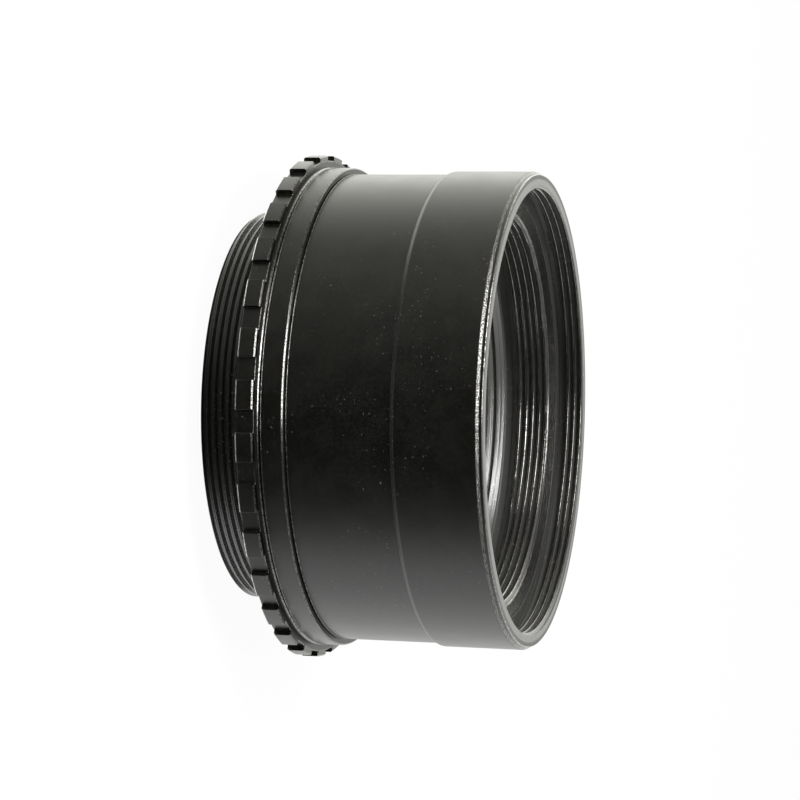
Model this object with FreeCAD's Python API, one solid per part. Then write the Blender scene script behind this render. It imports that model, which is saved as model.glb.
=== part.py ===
import FreeCAD, Part
import math
import os
from FreeCAD import Vector

# Telescope adapter with a two inch barrel, a camera thread and a lock ring, standing on its camera thread.
# Millimetres. Origin: centre of the camera thread's end face. +Z: optical axis, up towards the mouth.
# Pieces, from the bottom up: threaded nose, lock ring, stop ring, barrel, front sleeve, thread insert.

# Screw threads. The camera thread is the base of all widths.
camera_thread_diameter = 42.0
thread_pitch = 0.75
thread_clearance = 0.06
camera_thread_turn = 125.0
insert_thread_turn = 215.0
filter_thread_turn = 332.0

# Walls and steps on the radius, from the camera thread outwards. They make the barrel 50.2 mm across,
# the sleeve 50.8 mm, which is two inches, the stop ring 51.6 mm, the lock ring 54.2 mm and the filter thread 48 mm.
nose_wall = 1.64
spigot_gap = 0.25
insert_wall = 1.3
filter_thread_step = 3.0
barrel_wall = 4.1
sleeve_step = 0.3
stop_ring_width = 4.8
lock_ring_width = 6.1

# Lengths along the optical axis
exposed_thread_length = 5.7
tooth_length = 1.85
lock_ring_collar = 0.25
stop_ring_thickness = 2.45
barrel_length = 10.85
sleeve_length = 9.41
filter_recess_depth = 2.8
insert_length = 4.76
nose_to_insert = 0.85
running_gap = 0.05

# Threaded nose
nose_seat_length = 0.4
thread_relief_length = 1.0
nose_mouth_cone = 0.85
glare_groove_width = 0.35
glare_groove_depth = 0.2
nose_lip_width = 0.5

# Lock ring
tooth_count = 32
tooth_gap_width = 2.35
tooth_gap_depth = 0.55
tooth_turn = -1.9
ring_edge = 0.15

# Barrel, front sleeve and thread insert
filter_relief_length = 0.5
filter_relief_depth = 0.12
insert_relief_length = 0.45
insert_relief_depth = 0.12
insert_ledge_width = 1.2
insert_ledge_depth = 0.7
barrel_edge = 0.08
nose_edge = 0.25
seam_bevel_length = 0.45
rim_chamfer = 0.3
rim_lip_length = 0.33
stop_ring_edge = 0.15
thread_edge_extra = 0.03
thread_end_edge = 0.12
filter_thread_edge = 0.1

# Heights that follow from the lengths
lock_ring_low = exposed_thread_length
tooth_high = lock_ring_low + tooth_length
lock_ring_high = tooth_high + lock_ring_collar
stop_ring_low = lock_ring_high + running_gap
stop_ring_high = stop_ring_low + stop_ring_thickness
barrel_low = stop_ring_high + running_gap
seam = barrel_low + barrel_length
mouth = seam + sleeve_length
recess_floor = mouth - filter_recess_depth
insert_low = recess_floor - insert_length
nose_high = insert_low - nose_to_insert

# Thread form: sixty degree flanks, five eighths of the sharp depth
thread_height = 5 / 8 * math.cos(math.radians(30)) * thread_pitch
flank_slope = math.tan(math.radians(30))

# Radii that follow from the camera thread, the walls and the steps
camera_thread_radius = camera_thread_diameter / 2
camera_crest = camera_thread_radius - thread_clearance
camera_root = camera_crest - thread_height
camera_hole_crest = camera_thread_radius - thread_height
nose_bore = camera_crest - nose_wall
spigot_bore = camera_thread_radius + spigot_gap
insert_radius = camera_thread_radius + insert_wall
filter_thread_radius = camera_thread_radius + filter_thread_step
filter_hole_crest = filter_thread_radius - thread_height
barrel_radius = camera_thread_radius + barrel_wall
sleeve_radius = barrel_radius + sleeve_step
stop_ring_radius = camera_thread_radius + stop_ring_width
lock_ring_radius = camera_thread_radius + lock_ring_width


def turned(corners):
    """Solid of revolution about Z, from the corners (radius, height) of its profile."""
    points = [Vector(radius, 0, height) for radius, height in corners]
    face = Part.Face(Part.makePolygon(points + points[:1]))
    return face.revolve(Vector(0, 0, 0), Vector(0, 0, 1), 360)


def helix(radius, low, high):
    """Right-hand helix about Z, one edge to each turn."""
    edges = []
    start = low
    while start < high:
        rise = min(thread_pitch, high - start)
        edge = Part.makeHelix(thread_pitch, rise, radius)
        edge.rotate(Vector(0, 0, 0), Vector(0, 0, 1), 360 * (start - low) / thread_pitch)
        edge.translate(Vector(0, 0, start))
        edges += edge.Edges
        start += thread_pitch
    return Part.Wire(edges)


def thread_groove(open_radius, floor_radius, floor_width, low, high, turn):
    """Helical groove with sloping flanks, open at one radius, with a flat floor at the other."""
    past_surface = 0.1
    outside = open_radius + math.copysign(past_surface, open_radius - floor_radius)
    half_floor = floor_width / 2
    half_open = half_floor + abs(outside - floor_radius) * flank_slope
    corners = [
        Vector(outside, 0, low - half_open),
        Vector(outside, 0, low + half_open),
        Vector(floor_radius, 0, low + half_floor),
        Vector(floor_radius, 0, low - half_floor),
    ]
    section = Part.makePolygon(corners + corners[:1])
    groove = helix(outside, low, high).makePipeShell([section], True, True)
    groove.rotate(Vector(0, 0, 0), Vector(0, 0, 1), turn)
    return groove


def male_groove(crest, low, high, turn):
    """What is cut from a shaft to leave a male thread: a quarter pitch wide at its root."""
    return thread_groove(crest, crest - thread_height, thread_pitch / 4, low, high, turn)


def female_groove(root, low, high, turn):
    """What is cut from a bore to leave a female thread: an eighth of the pitch wide at its root."""
    return thread_groove(root - thread_height, root, thread_pitch / 8, low, high, turn)


def lead_below(height, share):
    """Height under the given one, at a whole number of pitches and a share of one above the origin."""
    return (math.floor(height / thread_pitch - share) - 1 + share) * thread_pitch


def threaded_nose():
    """Tube with the male camera thread below, a seat for the stop ring, and a plain stretch in the barrel."""
    relief_high = stop_ring_low + nose_seat_length
    relief_low = relief_high - thread_relief_length
    relief = camera_root - thread_edge_extra
    cone_low = nose_high - nose_mouth_cone
    cone_radius = nose_bore + nose_lip_width
    groove_low = cone_low - glare_groove_width
    lip_low = groove_low - nose_lip_width
    body = turned([
        (nose_bore, nose_lip_width),
        (nose_bore + nose_lip_width, 0),
        (camera_crest - thread_end_edge, 0),
        (camera_crest, thread_end_edge),
        (camera_crest, relief_low),
        (relief, relief_low + thread_relief_length / 3),
        (relief, relief_high),
        (camera_crest, relief_high),
        (camera_crest, nose_high - nose_edge),
        (camera_crest - nose_edge, nose_high),
        (cone_radius + nose_mouth_cone, nose_high),
        (cone_radius, cone_low),
        (cone_radius + glare_groove_depth, cone_low),
        (cone_radius + glare_groove_depth, groove_low),
        (cone_radius, groove_low),
        (nose_bore, lip_low),
    ])
    groove = male_groove(
        camera_crest,
        lead_below(0, 0),
        relief_low + thread_relief_length / 2,
        camera_thread_turn,
    )
    return body.cut(groove)


def lock_ring():
    """Notched nut with square teeth and a low collar, which runs on the camera thread."""
    outer = lock_ring_radius
    collar = stop_ring_radius
    bore_edge = thread_height + thread_edge_extra
    body = turned([
        (camera_hole_crest, lock_ring_low + bore_edge),
        (camera_hole_crest + bore_edge, lock_ring_low),
        (outer - ring_edge, lock_ring_low),
        (outer, lock_ring_low + ring_edge),
        (outer, tooth_high - ring_edge),
        (outer - ring_edge, tooth_high),
        (collar, tooth_high),
        (collar, lock_ring_high - ring_edge),
        (collar - ring_edge, lock_ring_high),
        (camera_hole_crest + bore_edge, lock_ring_high),
        (camera_hole_crest, lock_ring_high - bore_edge),
    ])
    past = 1.0
    notch = Part.makeBox(
        tooth_gap_depth + past,
        tooth_gap_width,
        tooth_length + 2 * past,
        Vector(outer - tooth_gap_depth, -tooth_gap_width / 2, lock_ring_low - past),
    )
    step = 360 / tooth_count
    notches = []
    for i in range(tooth_count):
        copy = notch.copy()
        copy.rotate(Vector(0, 0, 0), Vector(0, 0, 1), tooth_turn + (i + 0.5) * step)
        notches.append(copy)
    body = body.cut(Part.makeCompound(notches))
    groove = female_groove(
        camera_thread_radius,
        lead_below(lock_ring_low, 0.5),
        lock_ring_high + thread_pitch,
        camera_thread_turn,
    )
    return body.cut(groove)


def stop_ring():
    """Smooth ring between the lock ring and the barrel, free to turn on the nose's plain seat."""
    outer = stop_ring_radius
    bore = camera_crest + running_gap
    return turned([
        (bore, stop_ring_low),
        (outer - stop_ring_edge, stop_ring_low),
        (outer, stop_ring_low + stop_ring_edge),
        (outer, stop_ring_high - stop_ring_edge),
        (outer - stop_ring_edge, stop_ring_high),
        (bore, stop_ring_high),
    ])


def barrel():
    """Tube that holds the nose, with a thin spigot that carries the front sleeve and the insert."""
    return turned([
        (camera_crest, barrel_low),
        (barrel_radius - barrel_edge, barrel_low),
        (barrel_radius, barrel_low + barrel_edge),
        (barrel_radius, seam),
        (insert_radius, seam),
        (insert_radius, insert_low),
        (spigot_bore, insert_low),
        (spigot_bore, nose_high),
        (camera_crest, nose_high),
    ])


def front_sleeve():
    """Two inch sleeve with the filter thread at its mouth and a plain bore for the insert."""
    relief = filter_thread_radius + filter_relief_depth
    relief_high = recess_floor + filter_relief_length
    body = turned([
        (insert_radius, seam),
        (barrel_radius, seam),
        (sleeve_radius, seam + seam_bevel_length),
        (sleeve_radius, mouth - rim_lip_length - rim_chamfer),
        (sleeve_radius - rim_chamfer, mouth - rim_lip_length),
        (sleeve_radius - rim_chamfer, mouth),
        (filter_hole_crest + filter_thread_edge, mouth),
        (filter_hole_crest, mouth - filter_thread_edge),
        (filter_hole_crest, relief_high + filter_relief_depth),
        (relief, relief_high),
        (relief, recess_floor),
        (insert_radius, recess_floor),
    ])
    groove = female_groove(
        filter_thread_radius,
        relief_high - filter_relief_length / 4,
        mouth + thread_pitch,
        filter_thread_turn,
    )
    return body.cut(groove)


def thread_insert():
    """Inner ring with the female camera thread and a sloping ledge that leads into it."""
    lead_in = thread_height + thread_edge_extra
    ledge = insert_radius - insert_ledge_width
    ledge_height = recess_floor - insert_ledge_depth
    relief = camera_thread_radius + insert_relief_depth
    relief_high = insert_low + insert_relief_length
    body = turned([
        (relief, insert_low),
        (insert_radius, insert_low),
        (insert_radius, recess_floor),
        (ledge, ledge_height),
        (camera_hole_crest, ledge_height - (ledge - camera_hole_crest)),
        (camera_hole_crest, relief_high + lead_in),
        (relief, relief_high),
    ])
    groove = female_groove(
        camera_thread_radius,
        insert_low - thread_pitch,
        recess_floor + thread_pitch,
        insert_thread_turn,
    )
    return body.cut(groove)


def save(name, shape):
    """Write one piece, which has to be one sound solid."""
    solid = shape.Solids[0]
    print(name, "solids", len(shape.Solids), "valid", solid.isValid(), "volume", round(solid.Volume, 2))
    solid.exportStep("parts/" + name + ".step")


os.makedirs("parts", exist_ok=True)
save("threaded_nose", threaded_nose())
save("lock_ring", lock_ring())
save("stop_ring", stop_ring())
save("barrel", barrel())
save("front_sleeve", front_sleeve())
save("thread_insert", thread_insert())
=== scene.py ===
# %% [markdown]
# # A telescope adapter
# The object is a short black tube that joins a camera to a telescope. It is a stack of turned rings: a
# nose with a camera thread, a notched lock ring, a smooth stop ring, a barrel, a sleeve that fits a
# two inch holder, and a thread insert inside the sleeve. The solids are already packed, and they say
# where every ring sits. Here each ring gets a finer surface, a finish, light and a camera.

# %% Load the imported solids
import math

import bpy
import numpy as np
from mathutils import Matrix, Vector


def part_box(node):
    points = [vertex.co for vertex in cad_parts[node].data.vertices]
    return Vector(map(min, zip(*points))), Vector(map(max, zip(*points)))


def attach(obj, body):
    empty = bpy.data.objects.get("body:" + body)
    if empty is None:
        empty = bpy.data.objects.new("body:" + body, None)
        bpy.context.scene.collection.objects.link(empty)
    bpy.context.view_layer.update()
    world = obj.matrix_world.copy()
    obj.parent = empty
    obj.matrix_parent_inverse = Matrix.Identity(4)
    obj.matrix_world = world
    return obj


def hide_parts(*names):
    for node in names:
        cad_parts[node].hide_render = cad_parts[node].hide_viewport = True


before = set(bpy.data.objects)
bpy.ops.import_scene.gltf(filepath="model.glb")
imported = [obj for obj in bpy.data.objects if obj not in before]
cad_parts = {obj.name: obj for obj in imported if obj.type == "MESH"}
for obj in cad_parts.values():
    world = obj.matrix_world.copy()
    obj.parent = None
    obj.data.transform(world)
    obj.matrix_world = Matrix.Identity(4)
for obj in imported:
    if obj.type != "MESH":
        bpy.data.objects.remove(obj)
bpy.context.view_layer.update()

# %% [markdown]
# ## Sizes
# Lengths are in millimetres while a shape is worked out, because that is how a turner thinks of it,
# and the mesh is written in metres. The optical axis is +Z, and the adapter stands on the end of its
# camera thread. The heights come from the solids, so a ring can't drift away from the place that it
# has there.

# %% Heights and radii
MM = 0.001


def heights(node):
    """Lowest and highest point of a solid, in millimetres."""
    low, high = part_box(node)
    return round(low.z / MM, 4), round(high.z / MM, 4)


nose_low, nose_high = heights("threaded_nose")
lock_low, lock_high = heights("lock_ring")
stop_low, stop_high = heights("stop_ring")
barrel_low, barrel_high = heights("barrel")
seam, mouth = heights("front_sleeve")
insert_low, insert_high = heights("thread_insert")

sleeve_radius = 25.4
barrel_radius = 25.1
stop_radius = 25.8
tooth_radius = 27.1
camera_thread_radius = 21.0
filter_thread_radius = 24.0
insert_radius = 22.3
nose_bore = 19.3
thread_allowance = 0.06
pitch = 0.75
collar_height = 0.25
tooth_high = lock_high - collar_height
thread_depth = 5 / 8 * math.cos(math.radians(30)) * pitch
print("heights, mm:", nose_high, lock_low, stop_low, barrel_low, seam, insert_low, insert_high, mouth)

# %% [markdown]
# ## A profile with broken edges
# No edge on a turned part is truly sharp. The turner breaks each one by a few hundredths of a
# millimetre, and that thin band is what flashes white on a black ring. A bevel modifier could do it,
# but here every ring is a profile turned round an axis, so it is cleaner to round the corners of the
# profile itself. A row just before and just after each arc keeps the flat faces flat when the shading
# is smoothed.

# %% Round the corners of a profile
EDGE = 0.04
ARC_STEPS = 3
SUPPORT = 0.05


def rounded(corners, closed=True):
    """Points (radius, height) along a chain of corners (radius, height, rounding).

    Each corner becomes an arc tangent to its two sides. With half the angle between the sides called
    h, the arc starts rounding / tan(h) from the corner, its centre is rounding / sin(h) away on the
    bisector, and a point of it is centre + (sin((1 - t) w) a + sin(t w) b) / sin(w) for t from 0 to 1,
    where a and b lead from the centre to the arc's ends and w = 180 degrees - 2 h is the angle between
    them.
    """
    table = np.array([(*corner, EDGE)[:3] for corner in corners], float)
    place, rounding = table[:, :2], table[:, 2:]
    into = np.roll(place, 1, 0) - place
    out = np.roll(place, -1, 0) - place
    length_in = np.linalg.norm(into, axis=1, keepdims=True)
    length_out = np.linalg.norm(out, axis=1, keepdims=True)
    into = into / length_in
    out = out / length_out
    half = 0.5 * np.arccos(np.clip((into * out).sum(1, keepdims=True), -1, 1))
    rounding = np.minimum(rounding, 0.4 * np.minimum(length_in, length_out) * np.tan(half))
    reach = rounding / np.tan(half)
    bisector = (into + out) / np.linalg.norm(into + out, axis=1, keepdims=True)
    centre = place + bisector * rounding / np.sin(half)
    a = (place + into * reach - centre)[:, None]
    b = (place + out * reach - centre)[:, None]
    turn = (math.pi - 2 * half)[:, None]
    t = np.linspace(0, 1, ARC_STEPS + 1)[None, :, None]
    arc = centre[:, None] + (np.sin((1 - t) * turn) * a + np.sin(t * turn) * b) / np.sin(turn)
    before = arc[:, :1] + (into * np.minimum(SUPPORT, 0.15 * length_in))[:, None]
    after = arc[:, -1:] + (out * np.minimum(SUPPORT, 0.15 * length_out))[:, None]
    points = np.concatenate([before, arc, after], axis=1)
    if closed:
        return points.reshape(-1, 2)
    return np.concatenate([place[:1], points[1:-1].reshape(-1, 2), place[-1:]])


square = rounded([(0, 0), (1, 0), (1, 1), (0, 1)])
print("points that a square gets round its four corners:", len(square))

# %% [markdown]
# ## From a grid to a closed skin
# Every ring is one grid: its columns go round the axis and its rows go round the profile. The last row
# joins the first one. The last column lies on the first one, and points that fall on each other are
# welded by number, which also closes the threads, where a column meets the next turn of its own helix.
# Faces that shrink to nothing are dropped. A count of the edges then proves that the skin is closed
# and that neighbouring faces agree on which side is out.

# %% Weld a grid into a mesh
COLUMNS = 288
WELD = 1e-6
SHARP = math.radians(50)


def skin(points):
    """Corners and faces of a grid (rows, columns, 3) that closes on itself both ways.

    The face at (row, column) has the corners (row, column), (row, column + 1), (row + 1, column + 1)
    and (row + 1, column). Points that round to the same millionth of a millimetre are one corner.
    """
    rows, columns = points.shape[:2]
    number = np.arange(rows * columns).reshape(rows, columns)
    following = np.roll(number, -1, axis=0)
    sides = [number[:, :-1], number[:, 1:], following[:, 1:], following[:, :-1]]
    quads = np.stack(sides, axis=-1).reshape(-1, 4)
    keys = np.round(points.reshape(-1, 3) / WELD).astype(np.int64)
    first, where = np.unique(keys, axis=0, return_index=True, return_inverse=True)[1:]
    quads = where.reshape(-1)[quads]
    differs = quads != np.roll(quads, -1, axis=1)
    whole = quads[differs.sum(1) == 4]
    cut = differs.sum(1) == 3
    thirds = quads[cut][differs[cut]].reshape(-1, 3)
    return points.reshape(-1, 3)[first], whole, thirds


def open_edges(quads, thirds):
    """How many edges lack a partner that runs the other way: 0 on a closed skin."""
    faces = (quads, thirds)
    starts = np.concatenate([face.ravel() for face in faces]).astype(np.int64)
    ends = np.concatenate([np.roll(face, -1, 1).ravel() for face in faces]).astype(np.int64)
    span = 1 << 32
    return len(np.setdiff1d(starts * span + ends, ends * span + starts))


def make_piece(name, points, material, node, body):
    """One ring as a mesh in metres that stands for a solid, rides on its body and carries its finish."""
    corners, quads, thirds = skin(points)
    mesh = bpy.data.meshes.new(name)
    mesh.from_pydata((corners * MM).tolist(), [], quads.tolist() + thirds.tolist())
    mesh.polygons.foreach_set("use_smooth", np.ones(len(mesh.polygons), bool))
    mesh.set_sharp_from_angle(angle=SHARP)
    mesh.materials.append(material)
    piece = bpy.data.objects.new(name, mesh)
    bpy.context.scene.collection.objects.link(piece)
    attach(piece, body)
    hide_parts(node)
    triangles = 2 * len(quads) + len(thirds)
    print(name, "triangles", triangles, "open edges", open_edges(quads, thirds))
    return piece


def around(profile, columns=COLUMNS):
    """The same (radius, height) rows in every column: shape (rows, columns + 1, 2)."""
    return np.repeat(np.asarray(profile)[:, None, :], columns + 1, axis=1)


def turned(rows, angles=None):
    """Rows (radius, height) turned round Z: x = radius cos(angle), y = radius sin(angle), z = height."""
    if angles is None:
        angles = np.linspace(0, 2 * math.pi, rows.shape[1])
    radius, height = rows[..., 0], rows[..., 1]
    return np.stack([radius * np.cos(angles), radius * np.sin(angles), height], axis=-1)


# %% [markdown]
# ## Screw threads
# A thread is one tooth profile that climbs by a pitch in each turn. It could be painted on as bump,
# but the crests catch the light one by one and cut the outline into steps, so they are real. The rows
# of the grid follow the helix, so that every crest stays crisp, and are held between two heights. A
# held row takes the radius that the thread has just there, so a groove runs out through an end face as
# a real one does. Where a chamfer or a relief cuts the thread down, the radius is simply the smaller
# of the two, or the larger in a hole.

# %% Rows of a thread
SHAFT_CREST_EDGE = 0.03
HOLE_CREST_EDGE = 0.07
ROOT_EDGE = 0.02


def thread_rows(ends, crest, root, crest_share, root_middle, limits, angles=None, soft=True):
    """Rows (radius, height) of a right-hand thread between two heights, from the bottom up.

    One pitch has a flat crest, a flank that falls 1 in tan(30), a flat root and a flank back. Heights
    on it start from the middle of the root, which is at root_middle where the angle is 0. A row keeps
    its place u on that profile, and its height is root_middle + u + turn * pitch + climb, with climb =
    pitch * angle / 360, held between the two ends. The radius is the profile's at u = height - climb -
    root_middle, limited by the line through the points (height, radius) in limits: from above on a
    shaft, from below in a hole. A thread that is hidden needs no soft corners.
    """
    if angles is None:
        angles = np.linspace(0, 2 * math.pi, COLUMNS + 1)
    flank = abs(crest - root) * math.tan(math.radians(30))
    crest_flat = crest_share * pitch
    root_flat = pitch - crest_flat - 2 * flank
    steps = np.array([0, root_flat, root_flat + flank, root_flat + flank + crest_flat])
    edge = SHAFT_CREST_EDGE if crest > root else HOLE_CREST_EDGE
    radii, edges = [root, root, crest, crest], [ROOT_EDGE, ROOT_EDGE, edge, edge]
    one = np.stack([radii, steps - root_flat / 2, edges], axis=1)
    three = np.concatenate([one + (0, turn * pitch, 0) for turn in (-1, 0, 1)])
    form = rounded(three).reshape(12, -1, 2)[4:8].reshape(-1, 2) if soft else three[4:8, :2]
    low, high = ends
    first_turn = math.floor((low - root_middle) / pitch) - 2
    last_turn = math.ceil((high - root_middle) / pitch) + 1
    turns = np.arange(first_turn, last_turn + 1)
    rise = (turns[:, None] * pitch + form[None, :, 1]).ravel() + root_middle
    climb = pitch * angles[None, :] / (2 * math.pi)
    height = np.clip(rise[:, None] + climb, low, high)
    radius = np.interp(height - climb - root_middle, form[:, 1], form[:, 0], period=pitch)
    limit = np.interp(height, *np.transpose(limits))
    choose = np.minimum if crest > root else np.maximum
    return np.stack([choose(radius, limit), height], axis=-1)


print("depth of the threads, mm:", round(thread_depth, 3))

# %% [markdown]
# ## Shader maths as sums
# A finish is a little program that runs at every point of the surface. Written node by node it is hard
# to read, so one small class wraps a socket, and Python's own operators add the nodes: `a * 2 + b` is
# two Math nodes. Colours and directions go through Mix and Vector Math nodes, because a Math node
# would turn them grey.

# %% A socket that can be added and multiplied


class Flow:
    """The output of a shader node. An operator on it adds the node that does the sum."""

    def __init__(self, socket):
        self.socket = socket

    def node(self, kind, settings=(), inputs=(), output=0):
        """Any node by its type, with its settings, set first, and its sockets' values or links."""
        tree = self.socket.id_data
        made = tree.nodes.new(kind)
        for name, value in dict(settings).items():
            setattr(made, name, value)
        for name, value in dict(inputs).items():
            if isinstance(value, Flow):
                tree.links.new(value.socket, made.inputs[name])
            else:
                made.inputs[name].default_value = value
        return Flow(made.outputs[output])

    def sum(self, word, other, flipped=False):
        """Two numbers through Math, two colours through Mix, and two directions through Vector Math."""
        first, second = (other, self) if flipped else (self, other)
        if self.socket.type == "RGBA":
            blend = {"data_type": "RGBA", "blend_type": word}
            return self.node("ShaderNodeMix", blend, {"Factor": 1.0, "A": first, "B": second}, "Result")
        kind = "ShaderNodeVectorMath" if self.socket.type == "VECTOR" else "ShaderNodeMath"
        return self.node(kind, {"operation": word}, {0: first, 1: second})

    def __add__(self, other):
        return self.sum("ADD", other)

    def __radd__(self, other):
        return self.sum("ADD", other, True)

    def __sub__(self, other):
        return self.sum("SUBTRACT", other)

    def __rsub__(self, other):
        return self.sum("SUBTRACT", other, True)

    def __mul__(self, other):
        return self.sum("MULTIPLY", other)

    def __rmul__(self, other):
        return self.sum("MULTIPLY", other, True)

    def __truediv__(self, other):
        return self.sum("DIVIDE", other)

    def __rtruediv__(self, other):
        return self.sum("DIVIDE", other, True)

    def math(self, word, other=0.0):
        """A Math node by its own name, such as SQRT or ARCTAN2."""
        return self.node("ShaderNodeMath", {"operation": word}, {0: self, 1: other})

    def rise(self, low, high):
        """0 below low, 1 above high, and smooth in between."""
        limits = {"Value": self, "From Min": low, "From Max": high}
        return self.node("ShaderNodeMapRange", {"interpolation_type": "SMOOTHSTEP"}, limits)

    def within(self, low, high, soft):
        """1 from low to high, and 0 beyond a soft border on both sides."""
        return self.rise(low - soft, low) * (1 - self.rise(high, high + soft))

    def mix(self, start, end):
        """Start where this mask is 0, end where it is 1: numbers, or colours if one end is a colour."""
        ends = [end.socket.type if isinstance(end, Flow) else type(end).__name__ for end in (start, end)]
        if "tuple" in ends or "RGBA" in ends:
            blend = {"Factor": self, "A": start, "B": end}
            return self.node("ShaderNodeMix", {"data_type": "RGBA"}, blend, "Result")
        return self * (end - start) + start

    def parts(self):
        """The three numbers of a direction or place."""
        split = self.node("ShaderNodeSeparateXYZ", (), {"Vector": self})
        return [Flow(output) for output in split.socket.node.outputs]

    def noise(self, size, detail=2.0):
        """Smooth random value from 0 to 1, with lumps of about this size."""
        sockets = {"Vector": self, "Scale": 1 / size, "Detail": detail}
        return self.node("ShaderNodeTexNoise", {"noise_dimensions": "3D"}, sockets, "Fac")

    def rings(self, size, detail=2.0):
        """The same along a single number, so that it makes rings or stripes."""
        sockets = {"W": self, "Scale": 1 / size, "Detail": detail}
        return self.node("ShaderNodeTexNoise", {"noise_dimensions": "1D"}, sockets, "Fac")


def new_material(name):
    """An empty material with a Principled surface, and the flow of its Object coordinates."""
    material = bpy.data.materials.new(name)
    material.use_nodes = True
    tree = material.node_tree
    surface = tree.nodes["Principled BSDF"]
    place = Flow(tree.nodes.new("ShaderNodeTexCoord").outputs["Object"])
    return material, surface, place


# %% [markdown]
# ## Black anodised aluminium
# Anodising is a hard, clear layer with black dye in it, grown on the metal. It mirrors like dark
# glass, so most of the finish is a plain dark surface with a gloss. The outside was blasted before it
# was dyed: it has a fine grain, faint brownish patches and a little dust in drifts. The bore and the
# threads were cut after that, so they are smoother and a little paler, with faint turning marks round
# the axis. Towards the mouth the cut surfaces are painted paler still: that is painted light, for the
# light that comes in through the mouth.
#
# The pattern could be painted on an unwrapped map, but a map has seams and stretches on narrow bevels.
# Here all of it is worked out from the place on the ring.

# %% Colours and sizes of the finish
SATIN = (0.0028, 0.0028, 0.0018, 1)
BROWNER_SATIN = (0.0060, 0.0058, 0.0042, 1)
CUT = (0.014, 0.014, 0.0125, 1)
DUST = (0.30, 0.30, 0.28, 1)
BARE = (1.0, 0.98, 0.93, 1)
CLOUD_SIZE, PATCH_SIZE, DRIFT_SIZE = 3.0, 0.4, 7.0
SPECK_SIZE, BEAD_SIZE, TEAR_SIZE = 0.2, 0.13, 0.16
TEAR_DEPTH = 0.2
ROUGH_DEPTH = 0.03
BAND_SOFT = 0.02
BORE_FADE = (12, 20)
DUST_LEVELS = (0.79, 0.83)
GLOSS_SPREAD = 0.08
METAL_SMOOTHER = 0.12
print("grain of the beads, mm:", BEAD_SIZE, "dust, mm:", SPECK_SIZE)

# %% [markdown]
# Where an edge was broken or gets rubbed, the layer is thin and bare metal comes through. A mask from
# the mesh's own curvature could find such edges, but it can't tell the bright ones from the dull ones.
# So two tables list them as bands, each between two heights and two radii. In a band the surface turns
# metallic, and its share is the part of the light that it gives back, broken up into beads. A share
# below 0 darkens the cut surface instead: that is painted shade, on the shelf at the foot of the filter
# thread, where little light reaches.

# %% Worn edges and a painted shade
outer_edges = [
    # low z, high z, inner radius, outer radius, share of metal or below 0 of colour lost to painted
    # shade, roughness
    (lock_low - 0.02, lock_low + 0.15, tooth_radius - 0.15, tooth_radius, 0.45, 0.0),
    (tooth_high - 0.15, tooth_high, tooth_radius - 0.7, tooth_radius, 0.10, 0.3),
    (tooth_high + 0.1, tooth_high + 0.27, stop_radius - 0.15, stop_radius, 0.17, 0.1),
    (stop_low + 0.13, stop_low + 0.22, stop_radius - 0.1, stop_radius + 0.1, 0.13, 0.8),
    (stop_high - 0.15, stop_high, stop_radius - 0.15, stop_radius, 0.12, 0.1),
    (barrel_low + 0.07, barrel_low + 0.16, barrel_radius - 0.1, barrel_radius + 0.1, 0.13, 0.8),
    (mouth - 0.59, mouth - 0.36, sleeve_radius - 0.3, sleeve_radius, 0.16, 2.0),
    (mouth - 0.08, mouth + 0.02, sleeve_radius - 0.38, sleeve_radius - 0.25, 0.30, 0.1),
    (insert_high + 0.5, mouth + 0.02, 23.5, 23.72, 0.20, 0.1),
    # Painted shade on the shelf at the foot of the filter thread, where little light reaches.
    (insert_high - 0.05, insert_high + 0.04, 22.25, 24.2, -0.68, 1.5),
]
inner_edges = [
    (insert_high - 0.6, insert_high + 0.02, 21.2, 22.2, 0.035, 3.0),
    (insert_high - 0.07, insert_high + 0.02, 22.2, 22.32, 0.15, 1.0),
    (insert_low, insert_high, 20.5, 20.70, 0.26, 0.1),
    (insert_high - 0.75, insert_high - 0.65, 21.0, 21.18, 0.20, 0.2),
    (nose_high - 2.4, nose_high, nose_bore, 20.4, 0.0, 0.7),
]
print("worn bands outside and inside:", len(outer_edges), len(inner_edges))

# %% [markdown]
# One function mixes the two surfaces, the worn bands, the dust, and painted light and shade in the
# bore. It makes two materials: satin for the outer rings, and a glossier one for the nose and the
# insert, which are cut all over.

# %% Finish with grain, turning marks, worn edges and painted light in the bore


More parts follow.
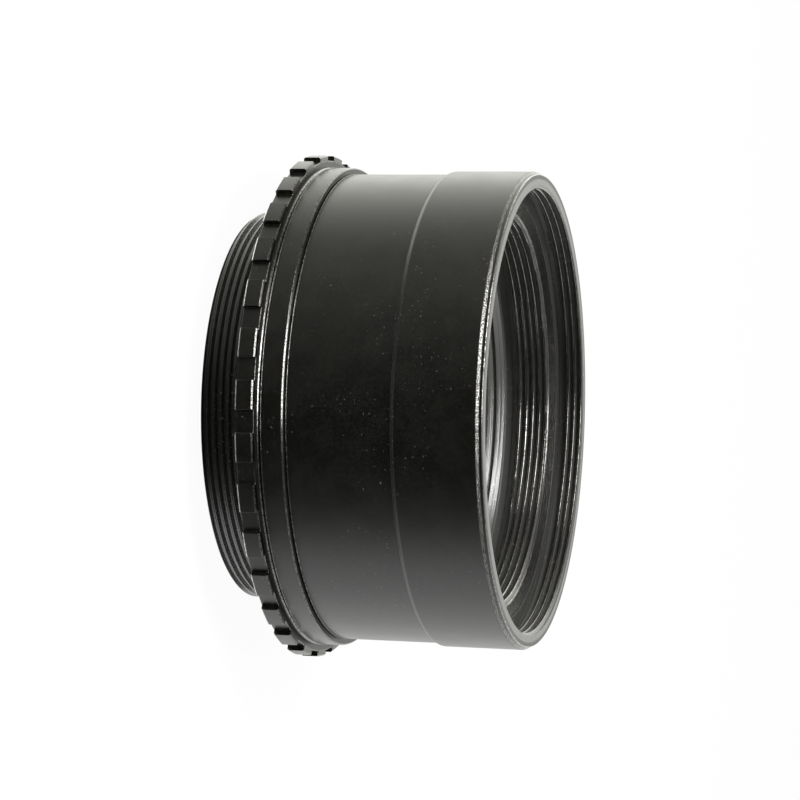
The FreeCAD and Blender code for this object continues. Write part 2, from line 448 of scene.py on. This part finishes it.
def anodised(name, roughness, grain, marks, cut_radius, cut_roughness, painted_bore_light, ior, edges):
    """Black anodised finish. Inside cut_radius it is the smoother finish of a cut surface.

    Grain and turning marks are each a size and a depth in millimetres. The bore colour is painted light:
    the cut surface near the mouth is made that much paler, for the light that comes in through the
    mouth. Edges is a table of worn bands, in which a share below 0 is painted shade.
    """
    material, surface, place = new_material(name)
    spot = place / (MM, MM, MM)
    x, y, z = spot.parts()
    radius = (x * x + y * y).math("SQRT")
    outside = radius.rise(cut_radius - 0.1, cut_radius + 0.1)
    cloud = spot.noise(CLOUD_SIZE)
    patches = (cloud + spot.noise(PATCH_SIZE, 2.0)) * 0.5
    broken = spot.noise(BEAD_SIZE, 1.0).rise(0.35, 0.6)
    towards_mouth = z.rise(*BORE_FADE)
    drift = spot.noise(DRIFT_SIZE, 1.0).rise(0.42, 0.6)
    dusty = outside.mix(towards_mouth.mix(0.3, 1.0), 0.25)
    dust = spot.noise(SPECK_SIZE, 0.0).rise(*DUST_LEVELS) * drift * dusty
    ragged = z + (spot.noise(TEAR_SIZE, 1.0) - 0.5) * TEAR_DEPTH
    nothing = z * 0
    metal, shine, rough, painted_shade_factor = nothing, nothing, nothing, nothing + 1
    for low, high, inner, outer, share, depth in edges:
        edge_height = ragged if depth >= 1 else z
        band = edge_height.within(low, high, BAND_SOFT) * radius.within(inner, outer, BAND_SOFT)
        rough = rough + band * depth
        if share > 0:
            metal = metal + band
            shine = shine + band * (share * (0.15 + broken * 1.1))
        # A share below 0 is painted shade: it darkens the cut surface in its band.
        if share < 0:
            painted_shade_factor = painted_shade_factor + band * share
    # Painted light: towards the mouth the cut surface fades to a paler tone, for the light coming in
    # there.
    cut_tone_with_painted_light_and_shade = towards_mouth.mix(CUT, painted_bore_light) * painted_shade_factor
    tone = outside.mix(cut_tone_with_painted_light_and_shade, patches.rise(0.38, 0.62).mix(SATIN, BROWNER_SATIN))
    tone = dust.mix(tone, DUST) * (1 - metal) + shine.mix((0, 0, 0, 1), BARE)
    tree = material.node_tree
    tree.links.new(tone.socket, surface.inputs["Base Color"])
    tree.links.new(metal.socket, surface.inputs["Metallic"])
    gloss = outside.mix(cut_roughness, roughness) + (cloud - 0.5) * GLOSS_SPREAD - metal * METAL_SMOOTHER
    tree.links.new(gloss.socket, surface.inputs["Roughness"])
    blasted = spot.noise(grain[0]) * (outside.mix(0.4, 1.0) * grain[1])
    turned_marks = (z + radius * 0.6).rings(marks[0]) * (outside.mix(1.6, 0.6) * marks[1])
    height = blasted + turned_marks + spot.noise(BEAD_SIZE, 1.0) * rough * ROUGH_DEPTH
    bump = height.node("ShaderNodeBump", (), {"Strength": 1.0, "Distance": MM, "Height": height})
    tree.links.new(bump.socket, surface.inputs["Normal"])
    surface.inputs["IOR"].default_value = ior
    return material


# The bore colours are painted light: the cut surfaces near the mouth are made paler for the light that
# comes in through it.
satin_black = anodised(
    "satin_black", roughness=0.32, grain=(0.11, 0.004), marks=(0.22, 0.0012),
    cut_radius=24.6, cut_roughness=0.26, painted_bore_light=(0.08, 0.08, 0.075, 1), ior=1.5, edges=outer_edges,
)
gloss_black = anodised(
    "gloss_black", roughness=0.24, grain=(0.09, 0.002), marks=(0.30, 0.030),
    cut_radius=30.0, cut_roughness=0.24, painted_bore_light=(0.052, 0.052, 0.048, 1), ior=1.8, edges=inner_edges,
)
print("finishes:", [finish.name for finish in bpy.data.materials])

# %% [markdown]
# ## The threaded nose
# The nose is the long inner tube. Its end carries the camera thread, then comes a relief where the
# tool ran out, a plain seat for the stop ring, and a stretch that disappears into the barrel. Deep in
# the bore a cone, a narrow groove and a lip make the bright bands. A bolt and a tube could be joined
# by a boolean, but one closed profile, the thread's rows first and then the plain ones, needs no mend.

# %% Threaded nose
CAMERA_TURN = 125 / 360 * pitch
camera_crest = camera_thread_radius - thread_allowance
camera_root = camera_crest - thread_depth
relief_high = stop_low + 0.4
relief_low = relief_high - 1.0
relief_end = relief_low + 1 / 3
relief_radius = camera_root - 0.03
cone_radius = nose_bore + 0.5
NOSE_LEAD = 0.12

nose_thread = thread_rows(
    (nose_low, relief_end), camera_crest, camera_root, 1 / 8, -CAMERA_TURN,
    [
        (nose_low, camera_crest - NOSE_LEAD), (nose_low + NOSE_LEAD, camera_crest),
        (relief_low, camera_crest), (relief_end, relief_radius),
    ],
)
nose_rest = rounded([
    (relief_radius, relief_end + 0.02),
    (relief_radius, relief_high),
    (camera_crest, relief_high),
    (camera_crest, nose_high - 0.25),
    (camera_crest - 0.25, nose_high, 0.01),
    (cone_radius + 0.5, nose_high, 0.02),
    (cone_radius, nose_high - 0.85),
    (cone_radius + 0.2, nose_high - 0.85),
    (cone_radius + 0.2, nose_high - 1.2),
    (cone_radius, nose_high - 1.2),
    (cone_radius - 0.3, nose_high - 1.7),
    (cone_radius - 0.3, nose_high - 2.2),
    (nose_bore, nose_high - 2.4),
    (nose_bore, 0.5),
    (cone_radius, nose_low),
    (camera_root - 0.06, nose_low),
], closed=False)
nose_grid = turned(np.concatenate([nose_thread, around(nose_rest)]))
make_piece("camera_thread_nose", nose_grid, gloss_black, "threaded_nose", "adapter")

# %% [markdown]
# ## The smooth rings
# The stop ring and the barrel are plain turned rings, so each is only a profile. Their bevels and the
# lock ring's collar are the pairs of bright lines beside the notches. Where the tool left the lower
# edges, a ridge of 0.03 mm stands up, and its slope makes the finest, beaded line of each pair. The
# ridge could be bump, but a line this clear should come from the shape.

# %% Stop ring and barrel
EDGE_CUT = 0.15
BARREL_CUT = 0.08
RIDGE = 0.03
NOSE_SEAT = 21.25
stop_profile = rounded([
    (camera_crest + 0.05, stop_low),
    (stop_radius - EDGE_CUT, stop_low),
    (stop_radius, stop_low + EDGE_CUT, 0.01),
    (stop_radius - RIDGE, stop_low + EDGE_CUT + RIDGE, 0.02),
    (stop_radius - RIDGE, stop_high - EDGE_CUT, 0.03),
    (stop_radius - RIDGE - EDGE_CUT, stop_high),
    (camera_crest + 0.05, stop_high),
])
make_piece("smooth_stop_ring", turned(around(stop_profile)), satin_black, "stop_ring", "stop_ring")

barrel_profile = rounded([
    (camera_crest, barrel_low),
    (barrel_radius - BARREL_CUT, barrel_low, 0.02),
    (barrel_radius, barrel_low + BARREL_CUT, 0.01),
    (barrel_radius - RIDGE, barrel_low + BARREL_CUT + RIDGE, 0.02),
    (barrel_radius - RIDGE, seam, 0.004),
    (insert_radius, seam),
    (insert_radius, barrel_high),
    (NOSE_SEAT, barrel_high),
    (NOSE_SEAT, nose_high),
    (camera_crest, nose_high),
])
make_piece("middle_barrel", turned(around(barrel_profile)), satin_black, "barrel", "adapter")

# %% [markdown]
# ## The two inch sleeve
# The sleeve is the part that slides into the holder. Its lower edge slopes out by 0.3 mm, which is the
# fine line round the body. Its rim has a bevel and a low lip, and inside it carries a fine thread for
# filters. The thread could be a separate liner, but then its edge would show at the rim, so sleeve and
# thread are one skin. In a hole the crest is the smaller radius, and the rows run downwards, so that
# the faces still look towards the bore.

# %% Front sleeve
FILTER_TURN = 332 / 360 * pitch
filter_crest = filter_thread_radius - thread_depth
filter_relief = filter_thread_radius + 0.12
filter_relief_high = insert_high + 0.5
SEAM_SLOPE = 0.45
RIM_CUT = 0.3
LIP_HEIGHT = 0.33
sleeve_thread = thread_rows(
    (filter_relief_high, mouth), filter_crest, filter_thread_radius, 1 / 4,
    filter_relief_high - 0.125 - FILTER_TURN,
    [
        (filter_relief_high, filter_relief), (filter_relief_high + 0.12, filter_crest),
        (mouth - 0.1, filter_crest), (mouth, filter_crest + 0.1),
    ],
)
sleeve_rest = rounded([
    (filter_relief, filter_relief_high),
    (filter_relief, insert_high, 0.01),
    (insert_radius, insert_high),
    (insert_radius, seam),
    (barrel_radius - RIDGE, seam, 0.004),
    (sleeve_radius, seam + SEAM_SLOPE, 0.3),
    (sleeve_radius, mouth - LIP_HEIGHT - RIM_CUT, 0.06),
    (sleeve_radius - RIM_CUT, mouth - LIP_HEIGHT, 0.06),
    (sleeve_radius - RIM_CUT, mouth, 0.08),
    (filter_thread_radius + 0.06, mouth),
], closed=False)
sleeve_grid = turned(np.concatenate([around(sleeve_rest), sleeve_thread[::-1]]))
make_piece("two_inch_sleeve", sleeve_grid, satin_black, "front_sleeve", "adapter")

# %% [markdown]
# ## The thread insert
# A second, narrower ring sits under the filter thread. A sloping ledge leads into its camera thread.
# It could be part of the sleeve, but a border and a glossier cut set it apart, so it is taken as a
# piece of its own, with its own skin and finish. The thread's rows are made by the same function as
# before.

# %% Thread insert
INSERT_TURN = 215 / 360 * pitch
insert_crest = camera_thread_radius - thread_depth
insert_relief = camera_thread_radius + 0.12
insert_relief_high = insert_low + 0.45
LEDGE_WIDTH, LEDGE_DROP = 1.2, 0.7
THREAD_LEAD = 0.466
LEAD_EDGE = 0.03
ledge_radius = insert_radius - LEDGE_WIDTH
ledge_height = insert_high - LEDGE_DROP
insert_thread = thread_rows(
    (insert_relief_high, ledge_height - 0.04), insert_crest, camera_thread_radius, 1 / 4,
    insert_low - INSERT_TURN,
    [
        (insert_relief_high, insert_relief),
        (insert_relief_high + THREAD_LEAD - LEAD_EDGE, insert_crest),
        (ledge_height - 0.12, insert_crest), (ledge_height, ledge_radius),
    ],
)
insert_rest = rounded([
    (insert_relief, insert_relief_high),
    (insert_relief, insert_low),
    (insert_radius, insert_low),
    (insert_radius, insert_high, 0.06),
    (ledge_radius, ledge_height, 0.05),
    (ledge_radius - 0.04, ledge_height - 0.04),
], closed=False)
insert_grid = turned(np.concatenate([around(insert_rest), insert_thread[::-1]]))
make_piece("inner_thread_ring", insert_grid, gloss_black, "thread_insert", "adapter")

# %% [markdown]
# ## The notched lock ring
# The lock ring is a thin nut with 32 square teeth to grip. It could be a disc with boxes cut out of
# it, but a boolean leaves ragged faces. Here the grid's columns follow the outline of the teeth
# instead of a circle, and each row of the profile holds that outline inside its own radius, just as
# the cutter meets a ring that was bevelled first.

# %% Outline of the teeth
TEETH = 32
GAP_WIDTH = 2.35
GAP_HALF = GAP_WIDTH / 2
GAP_FLOOR = tooth_radius - 0.55
RING_TURN = math.radians(-1.9)
CORE = GAP_FLOOR - 0.3
cell = math.pi / TEETH
notch_angle = math.asin(GAP_HALF / tooth_radius)

tip = np.linspace(-cell, -notch_angle - 0.006, 4)
tip_points = tooth_radius * np.stack([np.cos(tip), np.sin(tip)], axis=1)
wall_top = tooth_radius * math.cos(notch_angle)
notch = rounded([
    tuple(tip_points[-1]),
    (wall_top, -GAP_HALF),
    (GAP_FLOOR, -GAP_HALF),
    (GAP_FLOOR, GAP_HALF),
    (wall_top, GAP_HALF),
    (tip_points[-1][0], -tip_points[-1][1]),
], closed=False)
other_tip = (tip_points * (1, -1))[::-1][1:-1]
one_tooth = np.concatenate([tip_points[:-1], notch, other_tip])

turns = RING_TURN + (np.arange(TEETH) + 0.5) * 2 * cell
spin = np.stack([[np.cos(turns), -np.sin(turns)], [np.sin(turns), np.cos(turns)]])
outline = np.einsum("abn,kb->nka", spin, one_tooth).reshape(-1, 2)
outline = np.concatenate([outline, outline[:1]])
side = np.linalg.norm(np.diff(outline, axis=0), axis=1)
walk = np.concatenate([[0], np.cumsum(side)])
ring_angles = walk / walk[-1] * 2 * math.pi + turns[0] - cell
along = np.roll(outline[:-1], -1, 0) - np.roll(outline[:-1], 1, 0)
along = np.concatenate([along, along[:1]])
outward = np.stack([along[:, 1], -along[:, 0]], axis=1) / np.linalg.norm(along, axis=1, keepdims=True)
print("outline points:", len(outline) - 1)

# %% [markdown]
# The same profile that would turn a plain ring now limits the outline. Near the two faces the outline
# also draws in along a quarter circle, so that the notches have broken edges too. The rows inside the
# core, with the collar, are plain circles again, and the inner ones are the thread.

# %% Rows that follow the teeth
LOW_BREAK = 0.04
HIGH_BREAK = 0.1
lock_columns = len(outline) - 1


def toothed(profile):
    """Rows (x, y, z) of the outline held inside each row's radius.

    A row at depth d from a face draws the outline in by e (1 - sqrt(1 - (1 - d / e)^2)) for d under
    the face's break e, then shrinks each point that is still outside the row's radius straight towards
    the axis.
    """
    radius, height = profile[:, 0][:, None], profile[:, 1][:, None]
    inset = 0
    for depth, edge in ((height - lock_low, LOW_BREAK), (tooth_high - height, HIGH_BREAK)):
        share = 1 - np.clip(depth / edge, 0, 1)
        inset = inset + edge * (1 - np.sqrt(1 - share ** 2))
    flat = outline[None] - inset[..., None] * outward[None]
    reach = np.linalg.norm(flat, axis=2)
    flat = flat * np.minimum(1, radius / reach)[..., None]
    return np.concatenate([flat, np.broadcast_to(height[..., None], flat.shape[:2] + (1,))], axis=2)


def split(points, step):
    """The same chain with extra points, so that no side changes the radius by more than a step."""
    pieces = []
    for start, end in zip(points[:-1], points[1:]):
        count = max(1, math.ceil(abs(end[0] - start[0]) / step))
        pieces.append(start + (end - start) * (np.arange(count) / count)[:, None])
    return np.concatenate(pieces + [points[-1:]])


print("broken edges of the notches, mm:", LOW_BREAK, HIGH_BREAK)

# %% [markdown]
# The ring is then put together from four stretches, from the thread outwards along the low face, over
# the teeth, back along the collar and down the thread. The thread in the middle runs on the nose and
# is hidden, so its corners stay sharp and save faces.

# %% Lock ring
lead_radius = insert_crest + THREAD_LEAD
lock_thread = thread_rows(
    (lock_low + LEAD_EDGE, lock_high - LEAD_EDGE), insert_crest, camera_thread_radius, 1 / 4,
    pitch / 2 - CAMERA_TURN,
    [
        (lock_low, lead_radius), (lock_low + THREAD_LEAD, insert_crest),
        (lock_high - THREAD_LEAD, insert_crest), (lock_high, lead_radius),
    ],
    ring_angles, soft=False,
)
lock_low_face = rounded([
    (lead_radius - LEAD_EDGE, lock_low + LEAD_EDGE),
    (lead_radius, lock_low, 0.02),
    (CORE, lock_low - 0.001),
], closed=False)[:-1]
lock_teeth = rounded([
    (CORE, lock_low),
    (tooth_radius - EDGE_CUT, lock_low),
    (tooth_radius, lock_low + EDGE_CUT),
    (tooth_radius, tooth_high - EDGE_CUT),
    (tooth_radius - EDGE_CUT, tooth_high),
    (CORE, tooth_high),
], closed=False)
lock_collar = rounded([
    (CORE, tooth_high),
    (stop_radius, tooth_high, 0.01),
    (stop_radius, lock_high - EDGE_CUT, 0.02),
    (stop_radius - EDGE_CUT, lock_high, 0.02),
    (lead_radius, lock_high, 0.02),
    (lead_radius - LEAD_EDGE, lock_high - LEAD_EDGE),
], closed=False)
lock_edge = split(lock_teeth[1:-1], 0.03)
lock_grid = np.concatenate([
    turned(around(np.concatenate([lock_low_face, lock_teeth[:1]]), lock_columns), ring_angles),
    toothed(lock_edge),
    turned(around(lock_collar, lock_columns), ring_angles),
    turned(lock_thread[::-1], ring_angles),
])
make_piece("notched_lock_ring", lock_grid, satin_black, "lock_ring", "lock_ring")

# %% [markdown]
# ## The camera
# The photograph looks slightly into the mouth, with the optical axis lying across the picture. So the
# camera is rolled by a quarter turn: up in the picture is -X here, right is +Z, and the camera stands
# on the -Y side. It could be placed by eye with a constraint that aims it, but the outlines of the
# rings say more: they give a point on the axis and the axis's direction as seen from the camera, and
# the place follows from both.

# %% Camera
YAW = math.radians(15.27)
TILT = math.radians(1.32)
FOCAL_PIXELS = 2854
FRAME_PIXELS = 800
MIDDLE_LOW = 11.5
SEEN_HEIGHT = 30.25
SENSOR_WIDTH = 36
seen_point = sleeve_radius * np.array([0.5635, -0.0025, 11.962])

axis_z = np.array([math.cos(YAW) * math.cos(TILT), math.sin(TILT), -math.sin(YAW) * math.cos(TILT)])
forward = np.array([0.0, 0.0, 1.0])
axis_y = forward - forward @ axis_z * axis_z
axis_y = axis_y / np.linalg.norm(axis_y)
axis_x = np.cross(axis_y, axis_z)
seen = np.stack([axis_x, axis_y, axis_z])
camera_place = (np.array([0, 0, SEEN_HEIGHT]) - seen @ seen_point) * MM
camera_turn = np.stack([seen[:, 0], -seen[:, 1], -seen[:, 2]], axis=1)

camera = bpy.data.objects.new("camera", bpy.data.cameras.new("camera"))
camera.matrix_world = Matrix.Translation(camera_place.tolist()) @ Matrix(camera_turn.tolist()).to_4x4()
camera.data.sensor_width = SENSOR_WIDTH
camera.data.lens = FOCAL_PIXELS / FRAME_PIXELS * SENSOR_WIDTH
camera.data.shift_y = MIDDLE_LOW / FRAME_PIXELS
camera.data.clip_start = 0.01
bpy.context.scene.collection.objects.link(camera)
bpy.context.scene.camera = camera
print("camera at, mm:", (camera_place / MM).round(1), "lens", round(camera.data.lens, 2))

# %% [markdown]
# ## The studio
# A black ring shows nothing but what it mirrors, so its look is the look of the room. Here the room is
# a soft, bright tent, open towards the camera: bright above and below the adapter in the picture,
# bright behind it, and dark in front. Walls and lamps could build it, but each would leave its border
# on the metal. So one curve holds the brightness for each direction round the axis.

# %% Brightness of the tent
TENT = [
    (-180, 1.0), (-160, 1.25), (-142, 1.4), (-127, 1.55), (-115, 1.7), (-105, 1.65),
    (-95, 1.6), (-87, 1.75), (-79, 1.5), (-72, 1.15), (-65, 0.70), (-58, 0.40),
    (-52, 0.23), (-45, 0.135), (-32, 0.065), (-20, 0.05), (0, 0.045), (17, 0.115),
    (29, 0.21), (42, 0.34), (55, 0.50), (65, 0.60), (77, 0.69), (85, 0.78),
    (93, 1.0), (102, 1.3), (111, 1.65), (123, 2.05), (136, 2.4), (152, 2.5),
    (166, 1.6), (180, 1.0),
]
TENT_PEAK = 2.5
WARMTH = 0.0375


def grey(value):
    """A colour without a hue."""
    return value, value, value, 1


def curve(value, points, peak):
    """A smooth line through points (x from 0 to 1, y from 0 to peak) round the axis, as a colour ramp.

    The light is warm on one side and neutral on the other: its blue is y (1 - w (1 + sin(angle))),
    with the warmth w and the angle 360 (x - 1 / 2) degrees.
    """
    flow = value.node("ShaderNodeValToRGB", (), {"Fac": value})
    ramp = flow.socket.node.color_ramp
    ramp.interpolation = "EASE"
    for i, (x, y) in enumerate(points):
        stop = ramp.elements[i] if i < 2 else ramp.elements.new(x)
        blue = 1 - WARMTH * (1 + math.sin(2 * math.pi * (x - 0.5)))
        stop.position = x
        stop.color = (y / peak, y / peak, y / peak * blue, 1)
    return flow * grey(peak)


print("stops round the tent:", len(TENT), "brightest:", max(y for angle, y in TENT))

# %% [markdown]
# Over the mouth a cap closes the tent, and it is bright on one side only. Below the threaded end the
# light is dim. The camera itself sees plain white: the light path node tells the rays that come
# straight from the camera from the mirrored ones.

# %% World
CAP_ABOVE = 0.25
CAP_SIDE = 1.1
CAP_BELOW = 0.5
CAP_SIDES = (0.4, 0.7)
CAP_BORDER = (0.3, 0.75)
BELOW_BORDER = (0.75, 0.97)
world = bpy.data.worlds.new("white_studio")
world.use_nodes = True
bpy.context.scene.world = world
background = world.node_tree.nodes["Background"]
direction = Flow(world.node_tree.nodes.new("ShaderNodeTexCoord").outputs["Generated"])
east, north, up = direction.parts()
turn_share = (0 - east).math("ARCTAN2", 0 - north) / (2 * math.pi) + 0.5
tent = curve(turn_share, [((angle + 180) / 360, y) for angle, y in TENT], TENT_PEAK)
cap = east.rise(*CAP_SIDES).mix(grey(CAP_ABOVE), grey(CAP_SIDE))
above = up.rise(*CAP_BORDER).mix(tent, cap)
room = (0 - up).rise(*BELOW_BORDER).mix(above, grey(CAP_BELOW))
world_rays = Flow(world.node_tree.nodes.new("ShaderNodeLightPath").outputs["Is Camera Ray"])
world.node_tree.links.new(world_rays.mix(room, grey(1)).socket, background.inputs["Color"])
print("world:", world.name, "with", len(world.node_tree.nodes), "nodes")

# %% [markdown]
# The adapter stands on a pale floor. White paint alone would be as uneven as the light on it, so most
# of what the camera sees of it is an even glow, and the rest is paint, on which the adapter's shadow
# shows. What the metal mirrors is the tent, also below the adapter, so the floor lets mirrored rays
# through.

# %% Floor
FLOOR_HALF = 3.0
FLOOR_GLOW = 0.955


def white_stage(name):
    """Pale floor: nearly white to the camera, with a little shadow, and clear to mirrored rays."""
    material, surface, place = new_material(name)
    surface.inputs["Base Color"].default_value = grey(0.8)
    surface.inputs["Roughness"].default_value = 0.9
    tree = material.node_tree
    rays = tree.nodes.new("ShaderNodeLightPath")
    seen_by_camera = Flow(rays.outputs["Is Camera Ray"])
    mirrored = Flow(rays.outputs["Is Glossy Ray"])
    glow = place.node("ShaderNodeEmission", (), {"Color": grey(1), "Strength": 1.0})
    clear = place.node("ShaderNodeBsdfTransparent")
    shown = {0: seen_by_camera * FLOOR_GLOW, 1: Flow(surface.outputs[0]), 2: glow}
    lit = place.node("ShaderNodeMixShader", (), shown)
    mixed = place.node("ShaderNodeMixShader", (), {0: mirrored, 1: lit, 2: clear})
    tree.links.new(mixed.socket, tree.nodes["Material Output"].inputs["Surface"])
    return material


floor_mesh = bpy.data.meshes.new("floor")
floor_sides = np.array([(-1, -1, 0), (1, -1, 0), (1, 1, 0), (-1, 1, 0)]) * FLOOR_HALF
floor_mesh.from_pydata(floor_sides.tolist(), [], [(0, 1, 2, 3)])
floor_mesh.materials.append(white_stage("pale_floor"))
floor = bpy.data.objects.new("floor", floor_mesh)
bpy.context.scene.collection.objects.link(floor)
print("floor, m:", 2 * FLOOR_HALF)

# %% [markdown]
# Two small bright boxes hang over the mouth, which is to the right in the picture. The bevels flash
# back the one nearly straight above, and the cones deep in the bore the one a good way to the side.
# Both light the threads. They could be two more spots in the tent, but lamps of this size come out
# cleaner, because the renderer aims at them.

# %% Lamps
ADAPTER_MIDDLE = (0, 0, 0.015)


def softbox(name, direction, distance, width, height, brightness):
    """Area lamp that faces the adapter. An area lamp of power P and area A shines with P / (4 A)."""
    lamp = bpy.data.lights.new(name, "AREA")
    lamp.shape = "RECTANGLE"
    lamp.size, lamp.size_y = width, height
    lamp.energy = 4 * width * height * brightness
    holder = bpy.data.objects.new(name, lamp)
    way = np.array(direction, float) / np.linalg.norm(direction)
    side = np.cross((1.0, 0.0, 0.0), way)
    side = side / np.linalg.norm(side)
    turn = np.stack([side, np.cross(way, side), way], axis=1)
    place = Matrix.Translation((way * distance + ADAPTER_MIDDLE).tolist())
    holder.matrix_world = place @ Matrix(turn.tolist()).to_4x4()
    bpy.context.scene.collection.objects.link(holder)
    return holder


over_mouth = softbox("mouth_softbox", (-0.18, -0.23, 0.955), 0.5, 0.22, 0.24, 13.0)
to_the_side = softbox("upper_softbox", (-0.62, -0.40, 0.67), 0.5, 0.20, 0.20, 11.0)
print("lamps, watts:", [round(box.data.energy, 2) for box in (over_mouth, to_the_side)])

bpy.context.scene.view_settings.view_transform = "Standard"
